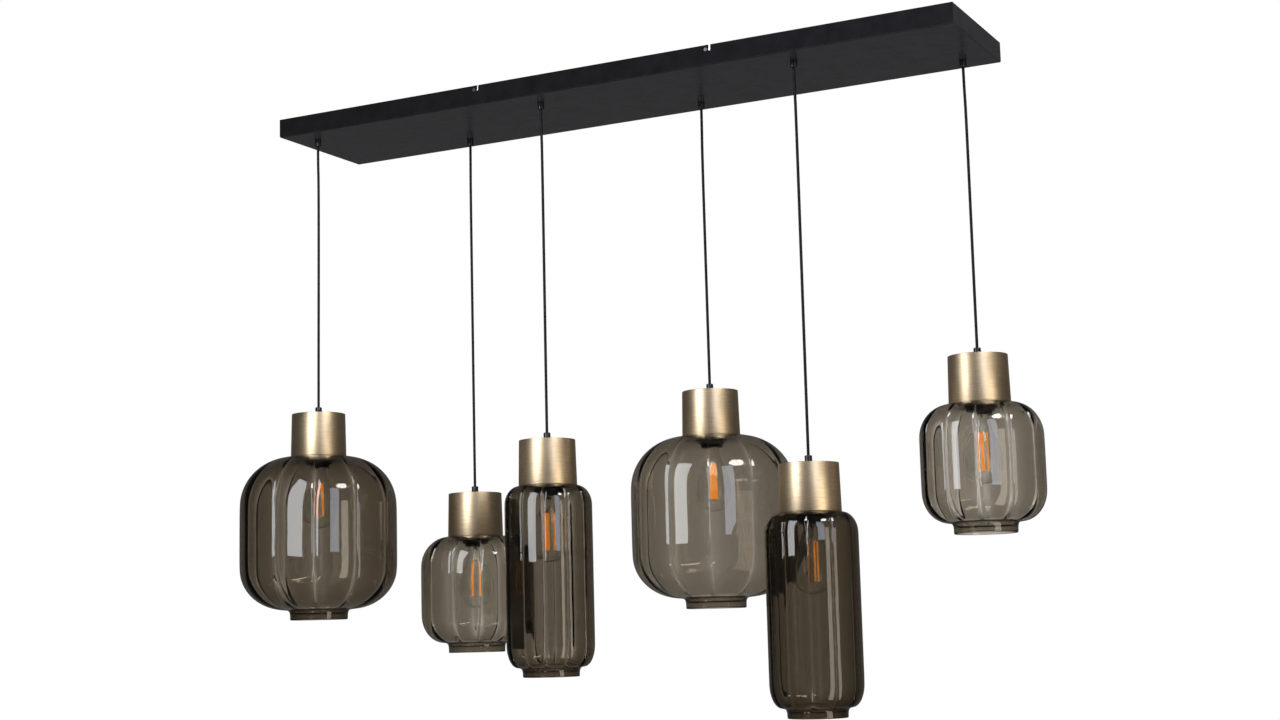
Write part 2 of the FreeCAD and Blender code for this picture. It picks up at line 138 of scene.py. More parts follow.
def noise(made, scale, stretch=(1, 1, 1), detail=3.0):
    """Noise over Object coordinates, squeezed along an axis where the finish has a grain."""
    nodes, links = made.node_tree.nodes, made.node_tree.links
    where = nodes.new("ShaderNodeTexCoord")
    mapping = nodes.new("ShaderNodeMapping")
    mapping.inputs["Scale"].default_value = stretch
    texture = nodes.new("ShaderNodeTexNoise")
    texture.inputs["Scale"].default_value = scale
    texture.inputs["Detail"].default_value = detail
    links.new(where.outputs["Object"], mapping.inputs["Vector"])
    links.new(mapping.outputs["Vector"], texture.inputs["Vector"])
    return texture.outputs["Fac"]


print("materials before the first finish", len(bpy.data.materials))

# %% [markdown]
# The noise is a value from 0 to 1 at every point of a piece. Three helpers send it on: to a number
# between two limits, to a colour between two tones, or to the surface's bumps. Most finishes take all
# three, because a worn or clouded spot changes in colour, gloss and surface together.

# %% Where the noise goes
def spread(made, value, low, high, target):
    """Sends a 0 to 1 value to a socket as a number between two limits."""
    nodes, links = made.node_tree.nodes, made.node_tree.links
    span = nodes.new("ShaderNodeMapRange")
    span.inputs["To Min"].default_value = low
    span.inputs["To Max"].default_value = high
    links.new(value, span.inputs["Value"])
    links.new(span.outputs["Result"], target)


def tones(made, value, dark, light, target, start=0.3, end=0.7):
    """Sends a 0 to 1 value to a colour socket as a blend of two colours."""
    nodes, links = made.node_tree.nodes, made.node_tree.links
    ramp = nodes.new("ShaderNodeValToRGB")
    ramp.color_ramp.elements[0].position = start
    ramp.color_ramp.elements[0].color = (*dark, 1)
    ramp.color_ramp.elements[1].position = end
    ramp.color_ramp.elements[1].color = (*light, 1)
    links.new(value, ramp.inputs["Fac"])
    links.new(ramp.outputs["Color"], target)


def bumps(made, value, height, strength, shader):
    """Bends the surface's normal by a value, with the real height of the bumps in metres."""
    nodes, links = made.node_tree.nodes, made.node_tree.links
    bump = nodes.new("ShaderNodeBump")
    bump.inputs["Distance"].default_value = height
    bump.inputs["Strength"].default_value = strength
    links.new(value, bump.inputs["Height"])
    links.new(bump.outputs["Normal"], shader.inputs["Normal"])


print("noise can go to", [helper.__name__ for helper in (spread, tones, bumps)])

# %% [markdown]
# The ceiling plate is steel with a satin black powder coat. Powder melts into a skin that is never
# quite flat, so a fine bump gives it orange peel, and a cloud shifts its gloss by a few hundredths.

# %% Powder coat
def powder_coat():
    """Black powder baked on steel."""
    made, shader = material("satin_black_steel", (0.012, 0.012, 0.014), 0.28)
    cloud = noise(made, 40)
    tones(made, cloud, (0.009, 0.009, 0.011), (0.014, 0.014, 0.017), shader.inputs["Base Color"])
    spread(made, cloud, 0.24, 0.32, shader.inputs["Roughness"])
    bumps(made, noise(made, 900), 0.0001, 0.08, shader)
    return made


steel_black = powder_coat()
print(steel_black.name)

# %% [markdown]
# The caps are brass, brushed on a lathe, so the scratches run round them. Long thin noise, squeezed
# 60 times along Z, makes those rings. The metal isn't new: patina changes its roughness in soft spots,
# and the colour stays between brown and pale gold.

# %% Brushed brass
def brushed_brass():
    """Antique brass brushed round the cap, darker in the scratches."""
    made, shader = material("brushed_brass", (0.50, 0.39, 0.25), 0.4, metallic=1.0)
    rings = noise(made, 60, stretch=(1, 1, 60), detail=5)
    patina = noise(made, 14, stretch=(1, 1, 2))
    tones(made, rings, (0.42, 0.315, 0.195), (0.68, 0.545, 0.365), shader.inputs["Base Color"])
    spread(made, patina, 0.34, 0.45, shader.inputs["Roughness"])
    bumps(made, rings, 0.00005, 0.25, shader)
    return made


brass = brushed_brass()
print(brass.name)

# %% [markdown]
# Grips, lampholders and shade rings are moulded in black plastic. It is as dark as the plate, but
# shinier, so it draws thin bright lines where the lamps mirror in it.

# %% Moulded plastic
def black_plastic():
    """Shiny black moulding."""
    made, shader = material("black_moulding", (0.007, 0.007, 0.008), 0.24)
    shader.inputs["Specular IOR Level"].default_value = 0.4
    cloud = noise(made, 120)
    tones(made, cloud, (0.005, 0.005, 0.006), (0.010, 0.010, 0.011), shader.inputs["Base Color"])
    spread(made, cloud, 0.18, 0.3, shader.inputs["Roughness"])
    bumps(made, noise(made, 1500), 0.00005, 0.15, shader)
    return made


plastic = black_plastic()
print(plastic.name)

# %% [markdown]
# The cords have a smooth black sheath over two twisted cores. The twist barely shows: it is a slow swell
# under the skin, so the bump is low. The sheath mirrors so little that the cords stay darker than the
# plate.

# %% Cord sheath
def cord_sheath():
    """Black sheath with the faint twist of the cores under it."""
    made, shader = material("cord_sheath", (0.006, 0.006, 0.006), 0.32)
    shader.inputs["Specular IOR Level"].default_value = 0.1
    twist = noise(made, 260, stretch=(1, 1, 0.4), detail=1)
    tones(made, twist, (0.004, 0.004, 0.004), (0.009, 0.009, 0.010), shader.inputs["Base Color"])
    spread(made, twist, 0.28, 0.38, shader.inputs["Roughness"])
    bumps(made, twist, 0.0002, 0.06, shader)
    return made


sheath = cord_sheath()
print(sheath.name)

# %% [markdown]
# The brackets are zinc plated and the bulbs have nickel plated bases. One helper serves both, because
# all plating clouds in the same way, and only the two tones differ. The terminal block is nylon, which
# is slightly yellow and never shiny.

# %% Plated metal and nylon
def plated(name, dark, light):
    """Bright plated metal, clouded as zinc and nickel are."""
    made, shader = material(name, light, 0.3, metallic=1.0)
    cloud = noise(made, 150)
    tones(made, cloud, dark, light, shader.inputs["Base Color"])
    spread(made, cloud, 0.22, 0.4, shader.inputs["Roughness"])
    bumps(made, noise(made, 1200), 0.00003, 0.2, shader)
    return made


def white_nylon():
    """Insulating plastic of the terminal block."""
    made, shader = material("white_nylon", (0.72, 0.71, 0.66), 0.45)
    cloud = noise(made, 90)
    tones(made, cloud, (0.66, 0.65, 0.60), (0.74, 0.73, 0.68), shader.inputs["Base Color"])
    bumps(made, noise(made, 800), 0.00005, 0.3, shader)
    return made


zinc = plated("zinc_plate", (0.45, 0.46, 0.48), (0.62, 0.63, 0.65))
nickel = plated("bulb_base_metal", (0.55, 0.54, 0.50), (0.72, 0.70, 0.65))
nylon = white_nylon()
print(zinc.name, nickel.name, nylon.name)

# %% [markdown]
# Smoked glass isn't painted: its colour is all through it, so thick places are darker than thin ones.
# A tinted surface would miss that. A volume inside the glass absorbs the light instead, and each shade
# gets its own wall, which is why some are nearly black and some are pale. A slow, weak bump stands for
# the waves that blowing leaves.

# %% Glass
def blown_glass(name, tint, absorbs, density):
    """Solid glass that darkens with its thickness."""
    made, shader = material(name, tint, 0.0)
    shader.inputs["Transmission Weight"].default_value = 1.0
    shader.inputs["IOR"].default_value = 1.5
    if density:
        inside = made.node_tree.nodes.new("ShaderNodeVolumeAbsorption")
        inside.inputs["Color"].default_value = (*absorbs, 1)
        inside.inputs["Density"].default_value = density
        output = made.node_tree.nodes["Material Output"]
        made.node_tree.links.new(inside.outputs["Volume"], output.inputs["Volume"])
    bumps(made, noise(made, 16, stretch=(1, 1, 0.5), detail=1.5), 0.0015, 0.2, shader)
    return made


smoked = blown_glass("smoked_glass", (0.97, 0.97, 0.97), (0.42, 0.368, 0.276), 490)
clear = blown_glass("clear_glass", (0.98, 0.99, 0.98), (1, 1, 1), 0)
print(smoked.name, clear.name)

# %% [markdown]
# The bulbs' light sticks are coated with an amber powder. Plain paint looks dead behind dark glass,
# so the sticks also get a painted glow: they give off some orange light of their own.

# %% Light sticks
def amber_sticks_painted_glow():
    """Amber coated light sticks, with a painted orange glow."""
    made, shader = material("amber_sticks_painted_glow", (0.85, 0.36, 0.04), 0.4)
    grain = noise(made, 500)
    tones(made, grain, (0.75, 0.27, 0.02), (0.92, 0.45, 0.08), shader.inputs["Base Color"])
    # Painted glow: an orange emission makes the sticks shine by themselves.
    shader.inputs["Emission Color"].default_value = (1.0, 0.33, 0.03, 1)
    shader.inputs["Emission Strength"].default_value = 1.5
    return made


amber = amber_sticks_painted_glow()
print("materials", len(bpy.data.materials))

# %% [markdown]
# Nearly every piece was turned, spun or blown, so it is round about one axis. The screw modifier could
# spin a profile, but a ring that is extruded and scaled from one point of the outline to the next gives
# clean quads, and can still be pulled out of round afterwards. Every operator acts on what is selected,
# so a piece starts by deselecting all.

# %% Rings of the lathe
def ring_at(radius, height, sides, name):
    """Starts a piece as one open ring of points, in edit mode."""
    bpy.ops.object.select_all(action="DESELECT")
    bpy.ops.mesh.primitive_circle_add(vertices=sides, radius=radius, location=(0, 0, height))
    piece = bpy.context.object
    piece.name = name
    bpy.ops.object.transform_apply(location=True)
    bpy.ops.object.mode_set(mode="EDIT")
    bpy.ops.mesh.select_all(action="SELECT")
    return piece


def extrude_ring(here, there):
    """Carries the selected ring on to the next point of the outline."""
    step = (0, 0, there[1] - here[1])
    grow = there[0] / here[0]
    bpy.ops.mesh.extrude_region_move(TRANSFORM_OT_translate={"value": step})
    bpy.ops.transform.resize(value=(grow, grow, 1), center_override=(0, 0, 0))


# %% [markdown]
# A turned piece is then one list of points, each a radius and a height. A hollow piece comes back to its
# start, so its last ring is bridged to its first. A bulb ends in a tip, where its last ring is drawn
# together. An outline may run either way, so the faces are made to point outwards at the end.

# %% Turned pieces
def close_ring():
    """Bridges the last ring to the first, which adds no points, so each ring's points stay in order."""
    bpy.ops.mesh.select_all(action="SELECT")
    bpy.ops.mesh.region_to_loop()
    bpy.ops.mesh.bridge_edge_loops()


def seal_ring():
    """Fills the open ring that is left at the outline's start, and makes the piece solid."""
    bpy.ops.mesh.select_all(action="SELECT")
    bpy.ops.mesh.region_to_loop()
    bpy.ops.mesh.fill()


def turned(name, outline, sides, end="ring"):
    """Turned piece. It is closed into a ring, ends in a tip, or ends in a tip with its start sealed."""
    piece = ring_at(*outline[0], sides, name)
    for here, there in zip(outline, outline[1:]):
        extrude_ring(here, there)
    if end == "ring":
        close_ring()
    else:
        bpy.ops.mesh.merge(type="COLLAPSE")
    if end == "sealed":
        seal_ring()
    bpy.ops.mesh.select_all(action="SELECT")
    bpy.ops.mesh.normals_make_consistent(inside=False)
    bpy.ops.object.mode_set(mode="OBJECT")
    return piece


print("a turned piece ends as", ("ring", "tip", "sealed"))

# %% [markdown]
# No real edge is perfectly sharp. The bevel modifier could be left live, but it is applied at once, so
# that the mesh itself has the small round faces. Edges that bend less than the limit only get smooth
# shading.

# %% Softened edges
EDGE_ANGLE = 35


def finish_edges(piece, width, segments=3, angle=EDGE_ANGLE):
    """Rounds the sharp edges a little, as on every real piece, and shades the rest smooth."""
    bevel = piece.modifiers.new("edges", "BEVEL")
    bevel.width = width
    bevel.segments = segments
    bevel.limit_method = "ANGLE"
    bevel.angle_limit = math.radians(angle)
    bpy.ops.object.modifier_apply(modifier=bevel.name)
    bpy.ops.object.shade_smooth_by_angle(angle=math.radians(angle))


print("edges are rounded from", EDGE_ANGLE, "degrees")

# %% [markdown]
# All lights share their small pieces, so each is made once and copied. A copy could share the first
# one's mesh, but here it gets its own, and its place goes into that mesh: the objects all stay at the
# origin, unturned, which keeps their materials' noise in true metres.

# %% Copies
def dress(piece, finish):
    """Gives a piece its only material."""
    piece.data.materials.clear()
    piece.data.materials.append(finish)


def copied(master, name, place, turn=0.0):
    """Copy of a finished piece with its own mesh, which holds its place and turn."""
    piece = master.copy()
    piece.data = master.data.copy()
    piece.name = name
    piece.data.transform(Matrix.Translation(place) @ Matrix.Rotation(turn, 4, "Z"))
    bpy.context.collection.objects.link(piece)
    return piece


def hung(master, name, body, node, turns=None):
    """One copy on each light, which replaces the frame's plain piece. The first one goes."""
    for n in LIGHTS:
        piece = copied(master, f"{name}_{n}", cap_top(n), turns[n] if turns else 0.0)
        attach(piece, f"{body}_{n}")
        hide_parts(f"{node}_{n}")
    bpy.data.objects.remove(master)
    print(name, len(LIGHTS))


print("copies of each small piece", len(LIGHTS))

# %% [markdown]
# Each cord hangs straight, because a light of more than a kilogram pulls on it. A cylinder would look
# like a rod. A curve with a round bevel keeps a cord's own character: its control points stray by about
# a millimetre, so a soft wave runs down it.

# %% Cords
CORD_SWAY = {1: 0.0016, 2: -0.0008, 3: 0.0009, 4: -0.0010, 5: 0.0008, 6: 0.0011}
CORD_ROUNDNESS = 5
STRAIGHT_START = 0.028
SWAY_PLACE = 0.084
STRAIGHT_END = 0.056


def cord_curve(name, points):
    """Round cord along a smooth line that the points pull into shape."""
    curve = bpy.data.curves.new(name, "CURVE")
    curve.dimensions = "3D"
    spline = curve.splines.new("NURBS")
    spline.points.add(len(points) - 1)
    for point, place in zip(spline.points, points):
        point.co = (*place, 1)
    spline.order_u = 3
    spline.use_endpoint_u = True
    curve.bevel_depth = CORD_DIAMETER / 2
    curve.bevel_resolution = CORD_ROUNDNESS
    curve.use_fill_caps = True
    curve.materials.append(sheath)
    cord = bpy.data.objects.new(name, curve)
    bpy.context.collection.objects.link(cord)
    return cord


def hanging_cord(n):
    """A light's cord from the plate's grip down into its lampholder."""
    low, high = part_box(f"cord_{n}")
    x, y = (low[0] + high[0]) / 2, (low[1] + high[1]) / 2
    points = [
        (x, y, high[2]), (x, y, high[2] - STRAIGHT_START), (x + CORD_SWAY[n], y, high[2] - SWAY_PLACE),
        (x, y, low[2] + STRAIGHT_END), (x, y, low[2]),
    ]
    cord = cord_curve(f"hanging_cord_{n}", points)
    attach(cord, f"pendant_{n}")
    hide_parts(f"cord_{n}")
    return high[2] - low[2]


for n in LIGHTS:
    print("cord", n, round(hanging_cord(n), 3), "m")

# %% [markdown]
# Inside the plate, each cord's end goes up out of its grip, bends over and runs to the terminal block.
# It lies loose there, so its line sags a little between the two. Three cords come in at each end of the
# block, side by side.

# %% Cord ends in the plate
TAIL_START = -0.0475
TAIL_HEIGHT = -0.0168
TAIL_RISE = 0.014
TAIL_BEND = 0.018
TAIL_SAG = 0.005
SAG_PLACES = (0.35, 0.65)
CORNER_CUT = 0.005
BLOCK_HALF = 0.032
BLOCK_ENTRY = 0.0119
CLAMP_LENGTH = 0.02
LANES = {1: 0.0, 2: 0.008, 3: -0.008, 4: 0.008, 5: -0.008, 6: 0.0}


def tail_points(n):
    """Control points of the cord's end, from its grip to its clamp."""
    low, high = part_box(f"cord_{n}")
    start = Vector(((low[0] + high[0]) / 2, (low[1] + high[1]) / 2, TAIL_START))
    end = math.copysign(1, start.x)
    goal = Vector((end * (BLOCK_HALF - BLOCK_ENTRY), LANES[n], TAIL_HEIGHT))
    corner = Vector((start.x, start.y, TAIL_HEIGHT))
    way = (goal - corner).normalized()
    sag = Vector((0, 0, -TAIL_SAG))
    run = (goal - corner).length
    return [
        start, start + Vector((0, 0, TAIL_RISE)), corner, corner + way * TAIL_BEND,
        *(corner + way * run * place + sag for place in SAG_PLACES), goal - way * CLAMP_LENGTH, goal,
    ]


def tail_length(points):
    """Length of the cord's end, with its corner cut by the bend."""
    run = (points[-1] - points[2]).length
    return (points[2] - points[0]).length + run - CORNER_CUT


for n in LIGHTS:
    points = tail_points(n)
    cord = cord_curve(f"cord_end_{n}", points)
    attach(cord, "canopy")
    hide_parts("cord_tails")
    print("cord end", n, round(tail_length(points), 3), "m")

# %% [markdown]
# Push-in grips hold the cords in the plate, and screw-on grips hold them on the caps. They are small
# turned mouldings. Their edges could stay sharp at this size, but a bevel of a third of a millimetre
# catches the light, and that bright rim is what makes plastic look moulded.

# %% Grips in the plate
PLATE_UNDERSIDE = -0.035
PLATE_FLOOR = -0.0338
GRIP_RADIUS = 0.006
GRIP_HEIGHT = 0.013
GRIP_EDGE = 0.0012
GRIP_SIDES = 40
BARB_TOP = 0.0031
BARB_SLOPE = 0.0012
BARB_TIP = 0.0052
BARB_RADIUS = 0.0058
SHANK_RADIUS = 0.005
CLEARANCE = 0.0001
MOULDED_EDGE = 0.0003


def plate_grip():
    """Grip in the plate's hole: barb and shank above, round body below."""
    outline = [
        (CORD_BORE, PLATE_FLOOR + BARB_TOP), (BARB_TIP, PLATE_FLOOR + BARB_TOP),
        (BARB_RADIUS, PLATE_FLOOR + BARB_SLOPE), (BARB_RADIUS, PLATE_FLOOR + CLEARANCE),
        (SHANK_RADIUS, PLATE_FLOOR + CLEARANCE), (SHANK_RADIUS, PLATE_UNDERSIDE),
        (GRIP_RADIUS, PLATE_UNDERSIDE),
        (GRIP_RADIUS, PLATE_UNDERSIDE - GRIP_HEIGHT + GRIP_EDGE),
        (GRIP_RADIUS - GRIP_EDGE, PLATE_UNDERSIDE - GRIP_HEIGHT),
        (CORD_BORE, PLATE_UNDERSIDE - GRIP_HEIGHT),
    ]
    piece = turned("plate_grip_master", outline, GRIP_SIDES)
    finish_edges(piece, MOULDED_EDGE)
    dress(piece, plastic)
    return piece


master = plate_grip()
for n in LIGHTS:
    x, y, _ = cap_top(n)
    grip = copied(master, f"plate_grip_{n}", (x, y, 0))
    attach(grip, "canopy")
    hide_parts("canopy_cord_grips")
bpy.data.objects.remove(master)
print("grips in the plate", len(LIGHTS))

# %% [markdown]
# The grip on a cap is screwed over the lampholder's hollow stem, and squeezes the cord above it. One
# solid bar would look the same from outside, but its bore steps from the stem's size to the cord's, so
# that it sits on the stem as the real one does. Its top edge is rounder than its foot.

# %% Grips on the caps
STEM_RADIUS = 0.005
STEM_RISE = 0.008
GRIP_ROUND = 0.0004


def cap_grip():
    """Grip on the lampholder's stem."""
    bore = STEM_RADIUS + CLEARANCE
    outline = [
        (bore, 0), (GRIP_RADIUS, 0), (GRIP_RADIUS, GRIP_HEIGHT - GRIP_EDGE),
        (GRIP_RADIUS - GRIP_ROUND, GRIP_HEIGHT - GRIP_ROUND), (GRIP_RADIUS - GRIP_EDGE, GRIP_HEIGHT),
        (CORD_BORE, GRIP_HEIGHT), (CORD_BORE, STEM_RISE + CLEARANCE), (bore, STEM_RISE + CLEARANCE),
    ]
    piece = turned("cap_grip_master", outline, GRIP_SIDES)
    finish_edges(piece, MOULDED_EDGE)
    dress(piece, plastic)
    return piece


hung(cap_grip(), "cap_grip", "pendant", "cord_grip")

# %% [markdown]
# The cap is a cup spun from sheet brass, a little wider at its mouth. Its inside shows from below, so it
# has its real wall: the outline goes down the outside, round the lip, and back up the inside.

# %% Caps
CAP_SIDES = 128
CAP_EDGE = 0.0006


def brass_cap():
    """Flared brass cup, open below."""
    hole = STEM_RADIUS + CLEARANCE
    outline = [
        (hole, 0), (CAP_TOP_RADIUS, 0), (CAP_BOTTOM_RADIUS, -CAP_HEIGHT),
        (CAP_BOTTOM_RADIUS - CAP_SHEET, -CAP_HEIGHT),
        (CAP_TOP_RADIUS - CAP_SHEET, -CAP_SHEET), (hole, -CAP_SHEET),
    ]
    piece = turned("cap_master", outline, CAP_SIDES)
    finish_edges(piece, CAP_EDGE)
    dress(piece, brass)
    return piece


hung(brass_cap(), "brass_cap", "pendant", "cap")

# %% [markdown]
# The lampholder is mostly hidden in the cap, and its dark end shows through the glass. It is one
# stepped turned piece: stem, clamp, head, sleeve, flange and the socket. A thread runs down the sleeve's
# free end for the shade's ring. A true helix would need a twisted mesh, and rings at the same pitch
# look the same here.

# %% Lampholders
CLAMP_RADIUS = 0.0085
CLAMP_END = -0.0055
HEAD_RADIUS = 0.0140
HEAD_TOP = -0.014
SLEEVE_RADIUS = 0.0195
SLEEVE_TOP = -0.024
FLANGE_RADIUS = 0.0235
FLANGE_TOP = 0.0025 - CAP_HEIGHT
HOLDER_END = -0.096
HOLDER_LIP = 0.0012
HOLDER_SIDES = 64
SOCKET_RADIUS = 0.0133
SOCKET_TOP = HOLDER_END + 0.03
WIRE_HOLE = 0.0015
CORD_SEAT = -0.01205
THREAD_START = -CAP_HEIGHT - 0.0015
THREAD_PITCH = 0.0025
THREAD_DEPTH = 0.0006
THREAD_TURNS = 6
FINE_EDGE = 0.0002


def sleeve_thread():
    """Outline of the thread's crests and roots, from the flange down."""
    points = []
    for turn in range(THREAD_TURNS):
        z = THREAD_START - turn * THREAD_PITCH
        points.append((SLEEVE_RADIUS, z))
        points.append((SLEEVE_RADIUS - THREAD_DEPTH, z - THREAD_PITCH / 2))
    return points


def lampholder():
    """Black holder with its screw socket open below."""
    outline = [
        (CORD_BORE, STEM_RISE), (STEM_RADIUS, STEM_RISE), (STEM_RADIUS, -CAP_SHEET),
        (CLAMP_RADIUS, -CAP_SHEET), (CLAMP_RADIUS, CLAMP_END), (STEM_RADIUS, CLAMP_END),
        (STEM_RADIUS, HEAD_TOP), (HEAD_RADIUS, HEAD_TOP), (HEAD_RADIUS, SLEEVE_TOP),
        (SLEEVE_RADIUS, SLEEVE_TOP), (SLEEVE_RADIUS, FLANGE_TOP), (FLANGE_RADIUS, FLANGE_TOP),
        (FLANGE_RADIUS, -CAP_HEIGHT), *sleeve_thread(),
        (SLEEVE_RADIUS, HOLDER_END + HOLDER_LIP), (SLEEVE_RADIUS, HOLDER_END), (SOCKET_RADIUS, HOLDER_END),
        (SOCKET_RADIUS, SOCKET_TOP), (WIRE_HOLE, SOCKET_TOP), (WIRE_HOLE, CORD_SEAT), (CORD_BORE, CORD_SEAT),
    ]
    piece = turned("lampholder_master", outline, HOLDER_SIDES)
    finish_edges(piece, FINE_EDGE, segments=2)
    dress(piece, plastic)
    return piece


hung(lampholder(), "lampholder_body", "pendant", "lampholder")

# %% [markdown]
# A threaded ring clamps the glass from inside. Fingers turn it, so its rim is ribbed. The ribs could be
# cut with booleans, but it is quicker to pull every second pair of points of the round body outwards.

# %% Shade rings
RING_TOP = -0.0816
RING_RADIUS = 0.026
RING_BODY = 0.023
RING_HEIGHT = 0.008
RING_FLANGE = 0.003
RING_RIBS = 24
RIB_POINTS = 4
RIB_DEPTH = 0.0006
TOLERANCE = 0.0001


def shade_ring():
    """Flanged ring with ribs for the fingers."""
    bore = SLEEVE_RADIUS + CLEARANCE
    root = RING_BODY - RIB_DEPTH
    outline = [
        (bore, RING_TOP), (RING_RADIUS, RING_TOP), (RING_RADIUS, RING_TOP - RING_FLANGE),
        (root, RING_TOP - RING_FLANGE), (root, RING_TOP - RING_HEIGHT), (bore, RING_TOP - RING_HEIGHT),
    ]
    piece = turned("shade_ring_master", outline, RING_RIBS * RIB_POINTS)
    for point in piece.data.vertices:
        across = math.hypot(point.co.x, point.co.y)
        if abs(across - root) < TOLERANCE and point.index % RIB_POINTS < RIB_POINTS / 2:
            point.co.x *= RING_BODY / across
            point.co.y *= RING_BODY / across
    finish_edges(piece, FINE_EDGE, segments=2)
    dress(piece, plastic)
    return piece


hung(shade_ring(), "ribbed_ring", "pendant", "shade_ring")

# %% [markdown]
# The shades decide the whole look. Each was blown into a ribbed mould, so it has twelve soft lobes with
# a narrow groove between them, on the outside and more weakly on the inside. Two thin skins would not
# bend light as glass does. So each shade is one closed skin round a real wall: down the outside, round
# the collar's rim and back up the inside.

# %% Lines of a shade
LOBES = 12
LOBE_SPOKES = (
    (0.0, 1.0), (0.05, 0.5), (0.12, 0.15), (0.27, 0.0), (0.5, 0.0), (0.73, 0.0), (0.88, 0.15), (0.95, 0.5),
)
SHADE_SIDES = LOBES * len(LOBE_SPOKES)
SHOULDER_RINGS = 9
WALL_RINGS = 3
BELLY_RINGS = 8
FOOT_MARGIN = 0.008
GROOVE_START = 0.6
GROOVE_FADE = 1.5
CURVE_EXTRA = 0.9
CURVE_END = 0.75
BELLY_SHARE = 0.55


def shade_lines(shade, inset):
    """Radius, height and groove strength down one face, from the cap's seat to the foot."""
    seat = CAP_BOTTOM_RADIUS
    radius = shade["radius"] - inset
    shoulder = shade["shoulder"] - inset
    belly = shade["belly"] - inset * BELLY_SHARE
    foot = shade["neck"] + FOOT_MARGIN - inset
    wall_top = -shade["shoulder"]
    belly_start = shade["collar"] + shade["belly"] - shade["height"]
    points = []
    for step in range(SHOULDER_RINGS + 1):
        share = step / SHOULDER_RINGS
        t = math.pi / 2 * share
        fade = min(1, share / GROOVE_START) ** GROOVE_FADE
        strength = fade * (1 + CURVE_EXTRA * math.sin(math.pi * share))
        points.append((seat + (radius - seat) * math.sin(t), -inset - shoulder * (1 - math.cos(t)), strength))
    for step in range(1, WALL_RINGS):
        points.append((radius, wall_top + (belly_start - wall_top) * step / WALL_RINGS, 1))
    for step in range(BELLY_RINGS + 1):
        share = step / BELLY_RINGS
        t = math.pi / 2 * share
        strength = 1 + CURVE_EXTRA * math.sin(math.pi * share * CURVE_END)
        points.append((foot + (radius - foot) * math.cos(t), belly_start - belly * math.sin(t), strength))
    return points


print("points round a shade", SHADE_SIDES)

# %% [markdown]
# The lathe gives a plain round form. Now its points are moved: each ring's points gather near the
# grooves, where the form bends most, and the groove points sink towards the axis. The groove's own line
# gets a crease, so that the smoothing that follows rounds the lobes and leaves the groove sharp.

# %% Grooves of a shade
def gather_spokes(piece):
    """Turns every point about the axis to its place in its lobe."""
    lobe = 2 * math.pi / LOBES
    count = len(LOBE_SPOKES)
    for point in piece.data.vertices:
        spoke = point.index % count
        turn = Matrix.Rotation((LOBE_SPOKES[spoke][0] - spoke / count) * lobe, 3, "Z")
        point.co = turn @ point.co


def press_grooves(piece, rings, first_ring, depth):
    """Sinks the grooves into some of the rings."""
    for number, (radius, _, strength) in enumerate(rings):
        start = (first_ring + number) * SHADE_SIDES
        for side in range(SHADE_SIDES):
            share = LOBE_SPOKES[side % len(LOBE_SPOKES)][1]
            point = piece.data.vertices[start + side]
            scale = 1 - depth * strength * share / radius
            point.co.x *= scale
            point.co.y *= scale


def crease_grooves(piece, rings, sharpness):
    """Keeps the groove lines of the outer face sharp when the skin is smoothed."""
    last = rings * SHADE_SIDES
    bpy.ops.object.mode_set(mode="EDIT")
    bpy.ops.mesh.select_mode(type="EDGE")
    bpy.ops.mesh.select_all(action="DESELECT")
    bpy.ops.object.mode_set(mode="OBJECT")
    for edge in piece.data.edges:
        a, b = sorted(edge.vertices)
        edge.select = b - a == SHADE_SIDES and b < last and a % len(LOBE_SPOKES) == 0
    bpy.ops.object.mode_set(mode="EDIT")
    bpy.ops.transform.edge_crease(value=sharpness)
    bpy.ops.mesh.select_mode(type="VERT")
    bpy.ops.object.mode_set(mode="OBJECT")


print("a lobe takes", 360 // LOBES, "degrees")

# %% [markdown]
# Under the belly the glass narrows into a short straight collar, open below. It could be one step, but a
# blown neck flows out of the belly and its rim is melted round, so both get points of their own. The
# collar is a little thicker than the shade's wall, because glass gathers where it narrows.

# %% Collar of a shade
COLLAR_EXTRA = 0.0006
COLLAR_FLARE = ((0.0038, 0.0006), (0.0014, 0.0026), (0.0003, 0.0062))
COLLAR_STRAIGHT = 0.006
RIM_HEIGHT = 0.001
RIM_ROUND = 0.0008
BORE_END = 0.003
BORE_FLARE = (0.0010, 0.0018)


def collar_lines(shade, wall):
    """Radius and height round the collar, from under the belly to the inside of the foot."""
    neck = shade["neck"]
    foot = -shade["height"]
    top = foot + shade["collar"]
    bore = neck - wall - COLLAR_EXTRA
    return [
        *((neck + out, top - down) for out, down in COLLAR_FLARE),
        (neck, foot + COLLAR_STRAIGHT), (neck, foot + RIM_HEIGHT),
        (neck - RIM_ROUND, foot), (bore + RIM_ROUND, foot), (bore, foot + RIM_HEIGHT),
        (bore, top - BORE_END), (bore + BORE_FLARE[0], top + BORE_FLARE[1]),
    ]


print("collars", [shade["collar"] for shade in SHADES.values()], "m")

# %% [markdown]
# Blown shades are never twins. The wall is thicker in some, which makes them darker, and the mould
# leaves deeper grooves in some than in others. So each light has its own wall, groove depth and turn.

# %% Shades
HOLE_RADIUS = 0.0201
HOLE_ROUND = 0.0006
SEAT_WIDTH = 0.012
GROOVE_CREASE = 0.85
SHADE_SMOOTHING = 2
LOBE_TURNS = {1: 3.5, 2: 7, 3: 23, 4: -7, 5: 17, 6: 13}
WALLS = {1: 0.0041, 2: 0.0032, 3: 0.0041, 4: 0.0030, 5: 0.0047, 6: 0.0027}
GROOVES = {1: 0.0036, 2: 0.0032, 3: 0.0026, 4: 0.0018, 5: 0.0014, 6: 0.0034}
INNER_SHARE = 0.5


